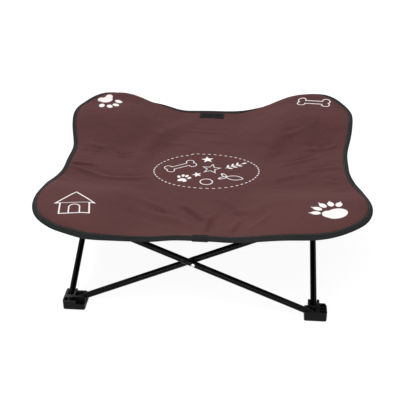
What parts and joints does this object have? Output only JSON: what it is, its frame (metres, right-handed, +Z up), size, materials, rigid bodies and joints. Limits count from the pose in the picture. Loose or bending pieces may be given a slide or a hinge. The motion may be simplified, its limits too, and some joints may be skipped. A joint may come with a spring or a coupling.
{
  "type": "raised dog cot",
  "caption": "Low raised pet cot: a slack cloth sling with rounded corner lobes and a taped edge, held over the floor by a folding square frame of crossed tubes on moulded feet.",
  "frame": {"origin": "on the floor, under the middle of the sling", "axes": "+X to the right and +Y to the back as seen in the picture, +Z up; the side of the cot nearest the camera faces -Y"},
  "size_m": [0.826, 0.8256, 0.2975],
  "materials": {
    "block_plastic": "fine grain moulded nylon",
    "tube_paint": "satin black powder coat on steel",
    "pin_steel": "plain drawn steel",
    "rivet_steel": "bright zinc",
    "washer_plastic": "plain nylon",
    "sling_cloth": "plain weave polyester canvas with a flat off-white print",
    "tape_cloth": "ribbed binding tape",
    "pocket_cloth": "plain weave webbing cloth",
    "label_cloth": "smooth woven label, bare"
  },
  "bodies": {
    "foot_front_left": {"foot_front_left": "block_plastic", "foot_pins_front_left": "pin_steel"},
    "top_front_left": {"top_block_front_left": "block_plastic", "top_pins_front_left": "pin_steel", "corner_pocket_front_left": "pocket_cloth"},
    "foot_front_right": {"foot_front_right": "block_plastic", "foot_pins_front_right": "pin_steel"},
    "top_front_right": {"top_block_front_right": "block_plastic", "top_pins_front_right": "pin_steel", "corner_pocket_front_right": "pocket_cloth"},
    "foot_back_right": {"foot_back_right": "block_plastic", "foot_pins_back_right": "pin_steel"},
    "top_back_right": {"top_block_back_right": "block_plastic", "top_pins_back_right": "pin_steel", "corner_pocket_back_right": "pocket_cloth"},
    "foot_back_left": {"foot_back_left": "block_plastic", "foot_pins_back_left": "pin_steel"},
    "top_back_left": {"top_block_back_left": "block_plastic", "top_pins_back_left": "pin_steel", "corner_pocket_back_left": "pocket_cloth"},
    "front_inner": {"front_inner_tube": "tube_paint"},
    "front_outer": {"front_outer_tube": "tube_paint", "front_rivet": "rivet_steel", "front_washer": "washer_plastic"},
    "right_inner": {"right_inner_tube": "tube_paint"},
    "right_outer": {"right_outer_tube": "tube_paint", "right_rivet": "rivet_steel", "right_washer": "washer_plastic"},
    "back_inner": {"back_inner_tube": "tube_paint"},
    "back_outer": {"back_outer_tube": "tube_paint", "back_rivet": "rivet_steel", "back_washer": "washer_plastic"},
    "left_inner": {"left_inner_tube": "tube_paint"},
    "left_outer": {"left_outer_tube": "tube_paint", "left_rivet": "rivet_steel", "left_washer": "washer_plastic"},
    "sling_half_left": {"sling_left": "sling_cloth", "edge_tape_left": "tape_cloth", "label_tab": "label_cloth"},
    "sling_half_right": {"sling_right": "sling_cloth", "edge_tape_right": "tape_cloth", "tape_join": "tape_cloth"}
  },
  "joints": [
    {"name": "fold", "type": "hinge", "parent": "foot_front_left", "child": "front_inner", "pos_m": [-0.291, -0.2992, 0.017], "axis": [0, -1, 0], "range_deg": [0, 57], "deforming": ["sling_left", "edge_tape_left", "label_tab", "sling_right", "edge_tape_right", "tape_join"]},
    {"name": "front_cross", "type": "hinge", "parent": "front_inner", "child": "front_outer", "pos_m": [0, -0.308, 0.147], "axis": [0, 1, 0], "range_deg": [0, 114]},
    {"name": "foot_front_right_pivot", "type": "hinge", "parent": "front_outer", "child": "foot_front_right", "pos_m": [0.291, -0.3168, 0.017], "axis": [0, -1, 0], "range_deg": [0, 57]},
    {"name": "top_front_right_pivot", "type": "hinge", "parent": "front_inner", "child": "top_front_right", "pos_m": [0.291, -0.2992, 0.277], "axis": [0, 1, 0], "range_deg": [0, 57]},
    {"name": "top_front_left_pivot", "type": "hinge", "parent": "front_outer", "child": "top_front_left", "pos_m": [-0.291, -0.3168, 0.277], "axis": [0, -1, 0], "range_deg": [0, 57]},
    {"name": "left_outer_pivot", "type": "hinge", "parent": "foot_front_left", "child": "left_outer", "pos_m": [-0.3168, -0.291, 0.017], "axis": [1, 0, 0], "range_deg": [0, 57]},
    {"name": "left_cross", "type": "hinge", "parent": "left_outer", "child": "left_inner", "pos_m": [-0.308, 0, 0.147], "axis": [-1, 0, 0], "range_deg": [0, 114]},
    {"name": "foot_back_left_pivot", "type": "hinge", "parent": "left_inner", "child": "foot_back_left", "pos_m": [-0.2992, 0.291, 0.017], "axis": [1, 0, 0], "range_deg": [0, 57]},
    {"name": "top_back_left_pivot", "type": "hinge", "parent": "left_outer", "child": "top_back_left", "pos_m": [-0.3168, 0.291, 0.277], "axis": [-1, 0, 0], "range_deg": [0, 57]},
    {"name": "right_inner_pivot", "type": "hinge", "parent": "foot_front_right", "child": "right_inner", "pos_m": [0.2992, -0.291, 0.017], "axis": [1, 0, 0], "range_deg": [0, 57]},
    {"name": "right_cross", "type": "hinge", "parent": "right_inner", "child": "right_outer", "pos_m": [0.308, 0, 0.147], "axis": [-1, 0, 0], "range_deg": [0, 114]},
    {"name": "foot_back_right_pivot", "type": "hinge", "parent": "right_outer", "child": "foot_back_right", "pos_m": [0.3168, 0.291, 0.017], "axis": [1, 0, 0], "range_deg": [0, 57]},
    {"name": "top_back_right_pivot", "type": "hinge", "parent": "right_inner", "child": "top_back_right", "pos_m": [0.2992, 0.291, 0.277], "axis": [-1, 0, 0], "range_deg": [0, 57]},
    {"name": "back_outer_pivot", "type": "hinge", "parent": "foot_back_left", "child": "back_outer", "pos_m": [-0.291, 0.3168, 0.017], "axis": [0, -1, 0], "range_deg": [0, 57]},
    {"name": "back_cross", "type": "hinge", "parent": "back_outer", "child": "back_inner", "pos_m": [0, 0.308, 0.147], "axis": [0, 1, 0], "range_deg": [0, 114]},
    {"name": "sling_left_drop", "type": "hinge", "parent": "top_front_left", "child": "sling_half_left", "pos_m": [-0.272, -0.308, 0.2954], "axis": [0, 1, 0], "range_deg": [0, 77]},
    {"name": "sling_right_drop", "type": "hinge", "parent": "top_front_right", "child": "sling_half_right", "pos_m": [0.272, -0.308, 0.2954], "axis": [0, -1, 0], "range_deg": [0, 77]}
  ],
  "couplings": [
    {"joint": "front_cross", "follows": "fold", "ratio": 2},
    {"joint": "foot_front_right_pivot", "follows": "fold", "ratio": 1},
    {"joint": "top_front_right_pivot", "follows": "fold", "ratio": 1},
    {"joint": "top_front_left_pivot", "follows": "fold", "ratio": 1},
    {"joint": "left_outer_pivot", "follows": "fold", "ratio": 1},
    {"joint": "left_cross", "follows": "fold", "ratio": 2},
    {"joint": "foot_back_left_pivot", "follows": "fold", "ratio": 1},
    {"joint": "top_back_left_pivot", "follows": "fold", "ratio": 1},
    {"joint": "right_inner_pivot", "follows": "fold", "ratio": 1},
    {"joint": "right_cross", "follows": "fold", "ratio": 2},
    {"joint": "foot_back_right_pivot", "follows": "fold", "ratio": 1},
    {"joint": "top_back_right_pivot", "follows": "fold", "ratio": 1},
    {"joint": "back_outer_pivot", "follows": "fold", "ratio": 1},
    {"joint": "back_cross", "follows": "fold", "ratio": 2},
    {"joint": "sling_left_drop", "follows": "fold", "ratio": 1.35},
    {"joint": "sling_right_drop", "follows": "fold", "ratio": 1.35}
  ]
}
